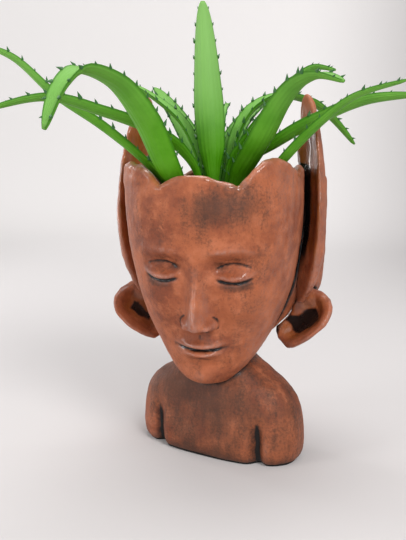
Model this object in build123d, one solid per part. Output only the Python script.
from build123d import *
import math
import os

# A head planter of coloured cast clay with an artificial aloe, in millimetres.
# The origin is the middle of the bust's underside, +Z is up, and the head looks along -Y.

# Driving dimensions of the pot
head_height = 200.0        # chin to crown of a whole head, before the top is left open
head_bow = 8.0             # degrees that the head leans forward
head_x = -5.0              # the head's axis, from the middle of the bust
head_y = 16.0
chin_level = 70.0          # height of the chin line above the surface that the pot stands on
rim_level = 240.0          # height of the petals of the rim
rim_dip = 15.0             # depth of the dips between two petals
wall = 8.0                 # wall at the rim
floor_wall = 15.0          # wall round the floor of the cavity
cavity_floor = 125.0       # height of the cavity's floor

# Driving dimensions of the bust and its pad
bust_turn = -15.0          # degrees that the bust is turned from the head
bust_width = 144.0
bust_depth = 70.0
shoulder_level = 71.0      # height of the top of the shoulders
neck_width = 48.0
neck_depth = 52.0
neck_top = 112.0           # the neck ends inside the head
arm_crease_depth = 7.0
arm_crease_width = 5.0
arm_crease_height = 40.0
pad_thickness = 1.5
pad_inset = 1.5
luting_gap = 0.4           # the bed between two pieces that are joined with slip

# Driving dimensions of the ears, the locks and the back hair
ear_length = 54.0
ear_width = 54.0
ear_thickness = 8.5
lock_level = 291.0         # height of the front locks' tips
lock_root_level = 124.0
lock_width = 44.0
lock_thickness = 8.0
rear_lock_level = 229.0    # height of the rear locks' tips
rear_lock_width = 36.0
rear_lock_thickness = 21.0
back_hair_low = 98.0
back_hair_high = 214.0
back_hair_thickness = 11.0
flute_depth = 1.6
flute_count = 26

# Driving dimensions of the foam and the plant
foam_radius = 32.0
foam_height = 42.0
foam_clearance = 0.3
crown_radius = 8.5
crown_height = 30.0
stake_radius = 3.5
stake_length = 34.0
stake_clearance = 0.25
plant_clearance = 0.4      # between the crown's underside and the foam
plant_reach = 180.0        # longest leaf, out from the stem
plant_rise = 190.0         # tallest leaf, up from the foam
leaf_width = 30.0          # widest leaf, round its cup
leaf_thickness = 2.6
leaf_cup = 2.0             # radians that a leaf's section is bent through
peg_width = 5.0
peg_cup = 0.4

# Points round one loop, and loops along one skin
loop_points = 40
head_loop_points = 104
hair_loop_points = 4 * flute_count
hair_edge_count = 8          # the edges of one outline of the back hair
seat_loops = 10
ear_loops = 12
lock_loops = 22
back_hair_loops = 10
leaf_loops = 24
tip_crowding_share = 0.6      # how far a lock's loops crowd towards its tip
front_crowding_share = 0.38   # how far the head's points crowd towards the face

# Outline of the head at levels up its height: half-widths, front and back as shares of its height
head_level_shares = [0, 0.015, 0.04, 0.10, 0.18, 0.28, 0.40, 0.50, 0.60, 0.72, 0.82, 1.0]
head_half_width_shares = [0.025, 0.075, 0.115, 0.178, 0.232, 0.283, 0.318, 0.333, 0.343, 0.347,
                          0.345, 0.332]
head_front_shares = [0.225, 0.25, 0.285, 0.31, 0.315, 0.325, 0.345, 0.355, 0.365, 0.365, 0.350, 0.31]
head_back_shares = [-0.17, -0.13, -0.08, 0.09, 0.20, 0.27, 0.315, 0.335, 0.345, 0.345, 0.335, 0.30]
head_roundness_share = 0.88   # below 1 the section is a little squarer than an oval
plain_level_share = 0.62      # above the brow the loops turn to follow the rim
cavity_way_shares = [0.10, 0.25, 0.42, 0.60, 0.78, 0.90, 0.965]
cavity_floor_shares = [1.3, 1.9, 2.7]   # how far in the floor's loops are, of its wall

# Rim dips: compass places round the rim from the face, in degrees, and their depths
dip_angles = [-23, 27, 80, 124, 171, -142, -82]
dip_depth_shares = [1.0, 1.0, 0.65, 0.75, 0.85, 0.75, 0.9]
dip_half_angle = 10.0
dip_power = 1.3               # above 1 the dips are rounder at the bottom

# Petals that differ: compass place and half-width in degrees, and drop as a share of a dip
petal_drop_shares = [(2, 20, 0.4), (14, 9, 0.2), (52, 18, -0.3), (178, 70, 0.4)]

# Nose: height shares, and how far it stands out and how wide it is there
nose_level_shares = [0.265, 0.283, 0.298, 0.32, 0.42, 0.53, 0.585]
nose_rise_shares = [0, 0.035, 0.088, 0.104, 0.056, 0.013, 0]
nose_half_width_shares = [0.045, 0.043, 0.040, 0.036, 0.030, 0.030, 0.034]
nose_power = 2.2              # above 2 the bridge is squarer than a bell curve
face_edge_share = 0.05        # how far round the sides the face's relief reaches, and its fade
face_fade_share = 0.5

# Features of the face: place across, place up, spread across, spread up and rise, all as shares
# of the head's height. One that isn't on the middle line stands on both sides.
face_feature_shares = [
    (0.120, 0.590, 0.072, 0.022, 0.013),
    (0.122, 0.520, 0.056, 0.036, -0.036),
    (0.138, 0.497, 0.060, 0.034, 0.030),
    (0.048, 0.304, 0.020, 0.020, 0.042),
    (0.170, 0.365, 0.080, 0.085, 0.018),
    (0.000, 0.200, 0.105, 0.070, 0.018),
    (0.000, 0.213, 0.080, 0.013, 0.020),
    (0.000, 0.178, 0.068, 0.014, 0.022),
    (0.000, 0.126, 0.070, 0.017, -0.014),
    (0.000, 0.062, 0.065, 0.040, 0.028),
]
eye_place_share = 0.138
eye_half_width_share = 0.064
lid_line_share = 0.482
lid_sag_share = 0.012
lid_groove_share = 0.012
lid_groove_spread_share = 0.007
mouth_line_share = 0.195
mouth_half_width_share = 0.105
mouth_lift_share = 0.012
mouth_groove_share = 0.013
mouth_groove_spread_share = 0.006

# Bust: levels up to the shoulders, and half-sizes there as shares of the bust's own
bust_level_shares = [0, 0.05, 0.20, 0.50, 0.72, 0.87, 0.96]
bust_half_width_shares = [0.955, 0.99, 1.0, 0.975, 0.90, 0.76, 0.60]
bust_half_depth_shares = [0.90, 0.95, 1.0, 0.98, 0.93, 0.87, 0.82]
neck_level_shares = [0.22, 0.55, 1.0]
neck_swell_shares = [1.06, 0.97, 0.95]
bust_roundness_share = 0.80
arm_crease_place_share = 0.62
arm_crease_fade_share = 0.4   # of its height, over which it runs out at the top
bust_loop_shares = [0, 0.02, 0.06, 0.12, 0.20, 0.30, 0.40, 0.50, 0.60, 0.70, 0.79, 0.87, 0.93, 0.97]

# A cupped section is never thicker than this share of the radius that it is bent to
cup_limit_share = 1.2

# Ear stations from the lobe to the top: way along, width, thickness and cup, as shares
ear_way_shares = [0, 0.06, 0.20, 0.42, 0.65, 0.84, 0.95, 1.0]
ear_width_shares = [0.26, 0.44, 0.68, 0.92, 1.0, 0.84, 0.52, 0.22]
ear_thickness_shares = [0.75, 0.95, 1.0, 1.0, 1.0, 0.95, 0.8, 0.45]
ear_cup = 1.9              # radians that its section is bent through
ear_lobe_place_shares = (0.272, 0.00, 0.085)   # from the chin line, shares of the head's height
ear_top_place_shares = (0.44, 0.04, 0.285)
ear_open_direction = (-0.45, -0.78, 0.42)      # the hollow side looks in, forwards and up

# Lock stations from the root to the tip: way up, sideways and backwards place, width, thickness
lock_way_shares = [0, 0.08, 0.20, 0.36, 0.52, 0.66, 0.78, 0.88, 0.95, 0.985, 1.0]
lock_side_shares = [0.338, 0.358, 0.377, 0.387, 0.388, 0.380, 0.370, 0.358, 0.346, 0.339, 0.336]
lock_back_shares = [0.00, 0.00, 0.00, 0.005, 0.01, 0.015, 0.025, 0.035, 0.045, 0.045, 0.045]
lock_width_shares = [0.20, 0.46, 0.78, 0.98, 1.0, 0.90, 0.74, 0.56, 0.40, 0.25, 0.10]
lock_thickness_shares = [0.7, 1.25, 1.55, 1.55, 1.35, 1.1, 0.95, 0.90, 0.85, 0.60, 0.30]
lock_cup_shares = [0.5, 0.8, 1.0, 1.0, 1.0, 0.95, 0.85, 0.7, 0.6, 0.5, 0.5]
lock_cup = 1.9
lock_open_angle = 38.0     # degrees that the hollow side looks forwards of straight in
rear_lock_way_shares = [0, 0.10, 0.30, 0.55, 0.78, 0.92, 0.98, 1.0]
rear_lock_side_shares = [0.350, 0.358, 0.366, 0.370, 0.370, 0.368, 0.364, 0.360]
rear_lock_back_shares = [0.10, 0.11, 0.125, 0.135, 0.140, 0.140, 0.140, 0.140]
rear_lock_width_shares = [0.35, 0.62, 0.92, 1.0, 0.90, 0.66, 0.38, 0.15]
rear_lock_cup = 0.9

# Back hair: way up, and its thickness there
back_hair_way_shares = [0, 0.04, 0.14, 0.32, 0.55, 0.78, 0.93, 1.0]
back_hair_thick_shares = [0.15, 0.55, 0.9, 1.05, 1.05, 0.95, 0.6, 0.15]
back_hair_side_share = 0.8    # its thickness at the sides
back_hair_start_share = 0.08   # how far in front of the head's axis the sides begin

# Leaves: compass place in degrees, peg level, width, turn round its midline in degrees, sideways
# lean, and the places of the midline, out and up. The peg level is a share of the crown's height,
# the width of the widest leaf, the lean and the out places of the reach, the up places of the rise.
leaf_tables = {
    "leaf_centre": (10, 1.00, 0.92, 0, -0.056,
                    [(0.045, 0.30), (0.055, 0.52), (0.05, 0.76), (0.04, 1.0)]),
    "leaf_front_left": (-21, 0.12, 0.98, 0, 0,
                        [(0.20, 0.17), (0.36, 0.335), (0.51, 0.53), (0.67, 0.65), (0.81, 0.68),
                         (0.90, 0.63), (0.99, 0.50)]),
    "leaf_front_right": (53, 0.30, 1.00, 0, 0,
                         [(0.13, 0.25), (0.31, 0.46), (0.42, 0.60), (0.50, 0.66), (0.58, 0.68),
                          (0.70, 0.66)]),
    "leaf_long_left": (-50, 0.55, 0.74, -12, 0,
                       [(0.10, 0.33), (0.24, 0.46), (0.52, 0.56), (0.74, 0.61), (0.97, 0.57)]),
    "leaf_low_left": (-72, 0.25, 0.70, -20, 0,
                      [(0.17, 0.22), (0.33, 0.38), (0.50, 0.51), (0.70, 0.64), (0.86, 0.78),
                       (0.97, 0.83)]),
    "leaf_thin_left": (-107, 0.85, 0.50, 0, 0,
                       [(0.09, 0.38), (0.17, 0.52), (0.27, 0.60), (0.44, 0.69), (0.51, 0.71)]),
    "leaf_short_left": (-136, 0.55, 0.86, 0, 0,
                        [(0.10, 0.28), (0.19, 0.39), (0.36, 0.54), (0.60, 0.70)]),
    "leaf_second_right": (75, 1.0, 0.74, 0, 0,
                          [(0.08, 0.34), (0.17, 0.46), (0.28, 0.58), (0.38, 0.69), (0.46, 0.73),
                           (0.53, 0.72)]),
    "leaf_long_right": (87, 0.58, 0.78, 24, 0,
                        [(0.11, 0.34), (0.27, 0.44), (0.44, 0.53), (0.66, 0.61), (0.83, 0.63)]),
    "leaf_low_right": (69, 0.10, 0.52, 0, 0,
                       [(0.17, 0.20), (0.34, 0.38), (0.51, 0.53), (0.65, 0.62), (0.84, 0.67)]),
    "leaf_short_right": (165, 0.12, 0.74, 0, 0,
                         [(0.10, 0.22), (0.15, 0.42), (0.28, 0.53), (0.41, 0.59), (0.54, 0.64)]),
    "leaf_back_right": (130, 0.52, 0.62, 0, 0,
                        [(0.08, 0.40), (0.18, 0.58), (0.34, 0.64), (0.48, 0.62), (0.58, 0.57),
                         (0.75, 0.44)]),
    "leaf_crown_tip": (182, 0.85, 0.42, 0, 0,
                       [(0.045, 0.42), (0.08, 0.52), (0.15, 0.58), (0.31, 0.62)]),
}
# Crown: way up and radius, as shares, and how far the stake reaches up into it
crown_shares = [(0, 0.75), (0.1, 0.95), (0.4, 1.0), (0.75, 0.85), (0.93, 0.6), (1.0, 0.35)]
stake_sink_share = 0.25

leaf_way_shares = [0.10, 0.18, 0.28, 0.36, 0.52, 0.68, 0.82, 0.92, 0.975, 1.0]
leaf_width_shares = [0.22, 0.36, 0.66, 0.92, 1.0, 0.86, 0.68, 0.49, 0.30, 0.12]
leaf_peg_share = 0.60      # of the crown's radius, where a leaf's peg starts
top_peg_share = 0.8        # of the crown's height, where the highest peg sits


def between(value, low, high):
    """The value, kept between two limits."""
    return max(low, min(high, value))


def smooth_value(place, places, values):
    """A value on a smooth curve through the given ones, with no overshoot between them."""
    place = between(place, places[0], places[-1])
    rises = []
    for index in range(len(places) - 1):
        rises.append((values[index + 1] - values[index]) / (places[index + 1] - places[index]))
    slopes = [rises[0]]
    for before, after in zip(rises, rises[1:]):
        level = before * after <= 0
        slopes.append(0.0 if level else 2 * before * after / (before + after))
    slopes.append(rises[-1])
    index = 0
    while index < len(rises) - 1 and place > places[index + 1]:
        index += 1
    span = places[index + 1] - places[index]
    way = (place - places[index]) / span
    start = (1 + 2 * way) * (1 - way) ** 2 * values[index]
    start_slope = way * (1 - way) ** 2 * span * slopes[index]
    end = way ** 2 * (3 - 2 * way) * values[index + 1]
    end_slope = way ** 2 * (way - 1) * span * slopes[index + 1]
    return start + start_slope + end + end_slope


def bump(distance, spread):
    """A bell curve: 1 in the middle, fading over the spread."""
    return math.exp(-(distance / spread) ** 2)


def closed_loop(points):
    """A smooth closed edge through points, which joins where it starts."""
    places = [index / len(points) for index in range(len(points) + 1)]
    corners = [Vector(*point) for point in points]
    return Edge.make_spline(corners, periodic=True, parameters=places)


def loop_edges(loop, edge_count):
    """The smooth closed outline through a loop's points, in that many equal edges."""
    if edge_count == 1:
        return [closed_loop(loop)]
    run = len(loop) // edge_count
    points = [Vector(*point) for point in loop + loop[:1]]
    return [Edge.make_spline(points[start:start + run + 1]) for start in range(0, len(loop), run)]


def skin(loops, edge_count=1):
    """A solid with a skin from each closed loop to the next, flat at both ends."""
    rings = [loop_edges(loop, edge_count) for loop in loops]
    faces = []
    for low_ring, high_ring in zip(rings, rings[1:]):
        for low, high in zip(low_ring, high_ring):
            faces.append(Face.make_surface_from_curves(low, high))
    faces.append(Face(Wire(rings[0])))
    faces.append(Face(Wire(rings[-1])))
    return Solid(Shell(faces))


def evenly(count):
    """Shares of a way, from 0 to 1, at even steps."""
    return [index / count for index in range(count + 1)]


def oval_point(turn, roundness):
    """A point on a unit oval, squarer than a circle where roundness is under 1."""
    side = math.copysign(abs(math.sin(turn)) ** roundness, math.sin(turn))
    front = math.copysign(abs(math.cos(turn)) ** roundness, math.cos(turn))
    return side, front


def cupped_loop(centre, across, out, width, thickness, cup, gap=0):
    """Points round a flat oval section that is bent into a cup, with its back towards out."""
    radius = width / cup
    thickness = min(thickness, cup_limit_share * radius) + 2 * gap
    cup = cup + 2 * gap / radius
    loop = []
    for index in range(loop_points):
        turn = math.tau * (index / loop_points + 1 / 4)
        swing = cup / 2 * math.cos(turn)
        distance = radius + thickness / 2 * math.sin(turn)
        place = centre + across * (distance * math.sin(swing))
        place += out * (distance * math.cos(swing) - radius)
        loop.append((place.X, place.Y, place.Z))
    return loop


def face_relief(side, up):
    """How far the face stands out of the plain head there. All three are head-height shares."""
    relief = 0.0
    for place, level, spread, spread_up, rise in face_feature_shares:
        distance = abs(side) - place if place else side
        relief += rise * bump(distance, spread) * bump(up - level, spread_up)
    rise = smooth_value(up, nose_level_shares, nose_rise_shares)
    half_width = smooth_value(up, nose_level_shares, nose_half_width_shares)
    relief += rise * math.exp(-abs(side / half_width) ** nose_power)
    eye_side = (abs(side) - eye_place_share) / eye_half_width_share
    lid_line = lid_line_share - lid_sag_share * (1 - eye_side ** 2)
    lid_fade = math.exp(-eye_side ** 6)
    relief -= lid_groove_share * lid_fade * bump(up - lid_line, lid_groove_spread_share)
    mouth_side = side / mouth_half_width_share
    mouth_line = mouth_line_share + mouth_lift_share * mouth_side ** 2
    mouth_fade = math.exp(-mouth_side ** 4)
    relief -= mouth_groove_share * mouth_fade * bump(up - mouth_line, mouth_groove_spread_share)
    return relief


def head_turn(index):
    """The turn of a point of the head's loops, with more of them round the face."""
    turn = math.tau * index / head_loop_points - math.pi
    return turn - front_crowding_share * math.sin(turn)


def head_place(turn, level, inset, relief_share):
    """A point of the head at a level above its chin line, set in from the plain outside."""
    up = level / head_height
    side, ahead = oval_point(turn, head_roundness_share)
    half_width = smooth_value(up, head_level_shares, head_half_width_shares) * head_height - inset
    front = smooth_value(up, head_level_shares, head_front_shares) * head_height - inset
    back = smooth_value(up, head_level_shares, head_back_shares) * head_height - inset
    x = half_width * side
    y = (back - front) / 2 - (back + front) / 2 * ahead
    facing = between((math.cos(turn) - face_edge_share) / face_fade_share, 0, 1)
    facing = facing * facing * (3 - 2 * facing)
    y -= relief_share * facing * face_relief(x / head_height, up) * head_height
    bow = math.radians(head_bow)
    world_y = head_y + y * math.cos(bow) - level * math.sin(bow)
    world_z = chin_level + y * math.sin(bow) + level * math.cos(bow)
    return head_x + x, world_y, world_z


def head_place_at(turn, height, inset):
    """The same at a height above the surface that the pot stands on, with a plain face."""
    level = height - chin_level
    for _ in range(6):
        level += height - head_place(turn, level, inset, 0)[2]
    x, y, _ = head_place(turn, level, inset, 0)
    return x, y, height


def rim_height(x, y):
    """Height of the rim in the direction of a point, with petals and dips between them."""
    angle = math.degrees(math.atan2(x - head_x, -(y - rim_centre_y)))
    height = rim_level
    for dip, depth_share in zip(dip_angles, dip_depth_shares):
        off = abs((angle - dip + 180) % 360 - 180) / dip_half_angle
        height -= rim_dip * depth_share * math.exp(-off ** dip_power)
    for petal, half_angle, drop_share in petal_drop_shares:
        off = abs((angle - petal + 180) % 360 - 180)
        height -= rim_dip * drop_share * bump(off, half_angle)
    return height


def rim_height_at(turn):
    """Height of the rim at a turn of the head's loops."""
    x, y, _ = head_place_at(turn, rim_level, 0)
    return rim_height(x, y)


rim_centre_y = (head_place_at(0, rim_level, 0)[1] + head_place_at(math.pi, rim_level, 0)[1]) / 2
turns = [head_turn(index) for index in range(head_loop_points)]
rim_heights = [rim_height_at(turn) for turn in turns]
crest = wall / 2
plain_level = plain_level_share * head_height
brow_loops = 46
forehead_loops = 7
crest_loops = 5


def outside_loops():
    """Loops of the head's outside, from under the chin up to just below the rim's crest."""
    loops = []
    for step in range(brow_loops):
        level = plain_level * step / (brow_loops - 1)
        loops.append([head_place(turn, level, 0, 1) for turn in turns])
    for step in range(1, forehead_loops + 1):
        way = step / forehead_loops
        loop = []
        for turn, height in zip(turns, rim_heights):
            start = head_place(turn, plain_level, 0, 0)[2]
            loop.append(head_place_at(turn, start + way * (height - crest - start), 0))
        loops.append(loop)
    return loops


def crest_loop(swing, lift):
    """One loop over the rim's rounded crest, from outside, 0, to inside, half a turn."""
    loop = []
    for turn, height in zip(turns, rim_heights):
        inset = crest * (1 - math.cos(swing))
        x, y, _ = head_place_at(turn, height - crest, inset)
        loop.append((x, y, height - crest + lift * math.sin(swing)))
    return loop


def cavity_loops():
    """Loops of the cavity, from just below the crest down to the edge of its floor."""
    loops = []
    for way in cavity_way_shares:
        loop = []
        for turn, height in zip(turns, rim_heights):
            top = height - crest
            inset = wall + (floor_wall - wall) * way
            loop.append(head_place_at(turn, top + way * (cavity_floor - top), inset))
        loops.append(loop)
    for shrink in cavity_floor_shares:
        inset = floor_wall * shrink
        loops.append([head_place_at(turn, cavity_floor, inset) for turn in turns])
    return loops


def make_head_shell():
    """The whole hollow head as one skin: up the outside, over the rim and down the inside."""
    loops = outside_loops()
    for step in range(1, crest_loops):
        loops.append(crest_loop(math.pi * step / crest_loops, crest))
    return skin(loops + cavity_loops())


def make_head_seat():
    """The plain head with the gap added, closed on top, which cuts the seats of other pieces."""
    brow_levels = [plain_level * way for way in evenly(brow_loops - 1)]
    crown_levels = [plain_level + (head_height - plain_level) * way for way in evenly(seat_loops)]
    loops = []
    for level in brow_levels + crown_levels[1:]:
        loops.append([head_place(turn, level, -luting_gap, 0) for turn in turns])
    return skin(loops)


def bust_loop(level, half_width, half_depth, crease_share, gap=0):
    """One level loop of the bust, with the creases of the arms in its front."""
    half_width += gap
    half_depth += gap
    loop = []
    crease_x = arm_crease_place_share * bust_width / 2
    for index in range(head_loop_points):
        turn = math.tau * index / head_loop_points
        side, ahead = oval_point(turn, bust_roundness_share)
        x = half_width * side
        y = -half_depth * ahead
        if ahead > 0:
            y += crease_share * arm_crease_depth * bump(abs(x) - crease_x, arm_crease_width)
        loop.append((x, y, level))
    return loop


def make_bust(gap=0):
    """Shoulders, chest and neck as one piece, turned a little from the head."""
    loops = []
    body_height = shoulder_level - pad_thickness
    crease_fade = arm_crease_fade_share * arm_crease_height
    for share in bust_loop_shares:
        level = pad_thickness + share * body_height
        half_width = smooth_value(share, bust_level_shares, bust_half_width_shares)
        half_depth = smooth_value(share, bust_level_shares, bust_half_depth_shares)
        height = share * body_height
        crease = between((arm_crease_height - height) / crease_fade, 0, 1)
        width = half_width * bust_width / 2
        loops.append(bust_loop(level, width, half_depth * bust_depth / 2, crease, gap))
    for share, swell in zip(neck_level_shares, neck_swell_shares):
        level = shoulder_level + share * (neck_top + gap - shoulder_level)
        loops.append(bust_loop(level, swell * neck_width / 2, swell * neck_depth / 2, 0, gap))
    return skin(loops).rotate(Axis.Z, bust_turn)


def make_base_pad():
    """The thin dark pad that the bust is glued to."""
    width = bust_half_width_shares[0] * bust_width / 2 - pad_inset
    depth = bust_half_depth_shares[0] * bust_depth / 2 - pad_inset
    crease = 1.0
    loops = [bust_loop(level, width, depth, crease) for level in (0, pad_thickness)]
    return skin(loops).rotate(Axis.Z, bust_turn)


def head_share_place(shares):
    """A place given by shares of the head's height, from its axis and its chin line."""
    x, y, z = (share * head_height for share in shares)
    return Vector(head_x + x, head_y + y, chin_level + z)


def make_ear():
    """The right cupped ear, from its lobe to its top, before it is seated on the head."""
    lobe = head_share_place(ear_lobe_place_shares)
    middle_way = head_share_place(ear_top_place_shares) - lobe
    along = middle_way.normalized()
    opening = Vector(*ear_open_direction)
    across = opening.cross(along).normalized()
    out = along.cross(across).normalized()
    out = out if out.dot(opening) < 0 else -out
    loops = []
    for way in evenly(ear_loops):
        width = ear_width * smooth_value(way, ear_way_shares, ear_width_shares)
        thickness = ear_thickness * smooth_value(way, ear_way_shares, ear_thickness_shares)
        centre = lobe + along * (way * ear_length)
        loops.append(cupped_loop(centre, across, out, width, thickness, ear_cup))
    return skin(loops)


def lock_ways():
    """Even steps up a lock, with the last ones closer together round its tip."""
    return [way * (1 + tip_crowding_share * (1 - way)) for way in evenly(lock_loops)]


def make_front_lock(gap=0):
    """The right tall cupped lock that stands up beside the head, hollow side to the front and in."""
    angle = math.radians(lock_open_angle)
    out = Vector(math.cos(angle), math.sin(angle), 0)
    across = Vector(math.sin(angle), -math.cos(angle), 0)
    loops = []
    for way in lock_ways():
        height = lock_root_level + way * (lock_level - lock_root_level)
        side = head_height * smooth_value(way, lock_way_shares, lock_side_shares)
        back = head_height * smooth_value(way, lock_way_shares, lock_back_shares)
        width = lock_width * smooth_value(way, lock_way_shares, lock_width_shares)
        thickness = lock_thickness * smooth_value(way, lock_way_shares, lock_thickness_shares)
        cup = lock_cup * smooth_value(way, lock_way_shares, lock_cup_shares)
        centre = Vector(head_x + side, head_y + back, height)
        loops.append(cupped_loop(centre, across, out, width, thickness, cup, gap))
    return skin(loops)


def make_rear_lock(gap=0):
    """The right shorter lock that lies behind the front one, down to the ear."""
    out = Vector(1, 0, 0)
    across = Vector(0, -1, 0)
    low = chin_level + ear_top_place_shares[2] * head_height
    loops = []
    for way in lock_ways():
        height = low + way * (rear_lock_level - low)
        side = head_height * smooth_value(way, rear_lock_way_shares, rear_lock_side_shares)
        back = head_height * smooth_value(way, rear_lock_way_shares, rear_lock_back_shares)
        width = rear_lock_width * smooth_value(way, rear_lock_way_shares, rear_lock_width_shares)
        centre = Vector(head_x + side, head_y + back, height)
        loops.append(cupped_loop(centre, across, out, width, rear_lock_thickness,
                                 rear_lock_cup, gap))
    return skin(loops)


def make_back_hair(gap=0):
    """The combed hair over the back of the head, with upright flutes."""
    loops = []
    for way in evenly(back_hair_loops):
        thick = smooth_value(way, back_hair_way_shares, back_hair_thick_shares)
        height = back_hair_low + way * (back_hair_high - back_hair_low)
        back = head_place_at(math.pi, height, 0)[1] + thick * back_hair_thickness + gap
        side = head_place_at(math.pi / 2, height, 0)[0] - head_x
        side += back_hair_side_share * thick * back_hair_thickness + gap
        front = head_y - back_hair_start_share * head_height - gap
        middle = (front + back) / 2
        loop = []
        for index in range(hair_loop_points):
            turn = math.tau * index / hair_loop_points
            across, ahead = oval_point(turn, head_roundness_share)
            flute = 1 - flute_depth * thick * math.cos(flute_count * turn / 2) ** 2 / side
            loop.append((head_x + side * across * flute,
                         middle - (back - front) / 2 * ahead * flute, height))
        loops.append(loop)
    return skin(loops, hair_edge_count)


foam_low = cavity_floor + foam_clearance
foam_top = foam_low + foam_height
plant_low = foam_top + plant_clearance
plant_x = head_x
floor_front_y = head_place_at(0, cavity_floor, 0)[1]
floor_back_y = head_place_at(math.pi, cavity_floor, 0)[1]
plant_y = ((floor_front_y + floor_back_y) / 2 + rim_centre_y) / 2


def make_foam_block():
    """The round block of dry foam that stands in the cavity, with a hole for the stake."""
    block = Pos(plant_x, plant_y, foam_low) * Cylinder(
        foam_radius, foam_height, align=(Align.CENTER, Align.CENTER, Align.MIN))
    depth = stake_length + stake_clearance
    hole = Pos(plant_x, plant_y, foam_top - depth) * Cylinder(
        stake_radius + stake_clearance, depth, align=(Align.CENTER, Align.CENTER, Align.MIN))
    return (block - hole).solid()


def make_plant_stem():
    """The moulded crown that holds the leaves, and the stake under it."""
    loops = []
    for way_share, radius_share in crown_shares:
        loop = []
        for index in range(loop_points):
            turn = math.tau * index / loop_points
            radius = crown_radius * radius_share
            loop.append((plant_x + radius * math.cos(turn), plant_y + radius * math.sin(turn),
                         plant_low + way_share * crown_height))
        loops.append(loop)
    sunk = stake_sink_share * crown_radius
    stake = Pos(plant_x, plant_y, plant_low + sunk) * Cylinder(
        stake_radius, stake_length + sunk - plant_clearance,
        align=(Align.CENTER, Align.CENTER, Align.MAX))
    return (skin(loops) + stake).solid()


def leaf_midline(places, way):
    """A place out and up along a leaf's midline, and its direction there."""
    lengths = [0.0]
    for before, after in zip(places, places[1:]):
        lengths.append(lengths[-1] + math.dist(before, after))
    step = lengths[-1] / 200
    place = way * lengths[-1]
    outs = [point[0] for point in places]
    ups = [point[1] for point in places]
    out = smooth_value(place, lengths, outs)
    up = smooth_value(place, lengths, ups)
    low = max(place - step, 0)
    high = min(place + step, lengths[-1])
    slope_out = smooth_value(high, lengths, outs) - smooth_value(low, lengths, outs)
    slope_up = smooth_value(high, lengths, ups) - smooth_value(low, lengths, ups)
    length = math.hypot(slope_out, slope_up)
    return out, up, slope_out / length, slope_up / length


def make_leaf(angle, peg_level, width_share, turn, lean_share, path_shares):
    """One cupped leaf that tapers to its tip, with the peg that sits in the crown."""
    start = (leaf_peg_share * crown_radius, peg_level * top_peg_share * crown_height)
    places = [start]
    for out_share, up_share in path_shares:
        places.append((out_share * plant_reach, up_share * plant_rise))
    compass = math.radians(angle)
    roll = math.radians(turn)
    ahead = Vector(math.sin(compass), -math.cos(compass), 0)
    side = Vector(math.cos(compass), math.sin(compass), 0)
    root = Vector(plant_x, plant_y, plant_low)
    full_width = leaf_width * width_share
    loops = []
    for way in evenly(leaf_loops):
        out, up, slope_out, slope_up = leaf_midline(places, way)
        if way < leaf_way_shares[0]:
            width = peg_width
            cup = peg_cup
        else:
            width = full_width * smooth_value(way, leaf_way_shares, leaf_width_shares)
            cup = leaf_cup
        centre = root + ahead * out + Vector(0, 0, up) + side * (way * lean_share * plant_reach)
        back = ahead * slope_up + Vector(0, 0, -slope_out)
        across = side * math.cos(way * roll) + back * math.sin(way * roll)
        back = back * math.cos(way * roll) - side * math.sin(way * roll)
        loops.append(cupped_loop(centre, across, back, width, leaf_thickness, cup))
    return skin(loops)


def save(name, solid):
    """Write one piece under its own name."""
    export_step(solid, os.path.join("parts", name + ".step"))


os.makedirs("parts", exist_ok=True)

save("base_pad", make_base_pad())
save("bust", make_bust())
save("head_pot", (make_head_shell() - make_bust(luting_gap)).solid())

head_seat = make_head_seat()
hair_seat = make_back_hair(luting_gap)
rear_lock_seat = make_rear_lock(luting_gap)
seated_pieces = {
    "ear": make_ear() - make_front_lock(luting_gap) - rear_lock_seat - hair_seat - head_seat,
    "front_lock": make_front_lock() - rear_lock_seat - hair_seat - head_seat,
    "rear_lock": make_rear_lock() - hair_seat - head_seat,
}
middle_plane = Plane.YZ.offset(head_x)
save("back_hair", (make_back_hair() - head_seat).solid())
for name, piece in seated_pieces.items():
    save("right_" + name, piece.solid())
    save("left_" + name, piece.solid().mirror(middle_plane))

save("foam_block", make_foam_block())
save("plant_stem", make_plant_stem())
for name, leaf_table in leaf_tables.items():
    save(name, make_leaf(*leaf_table))
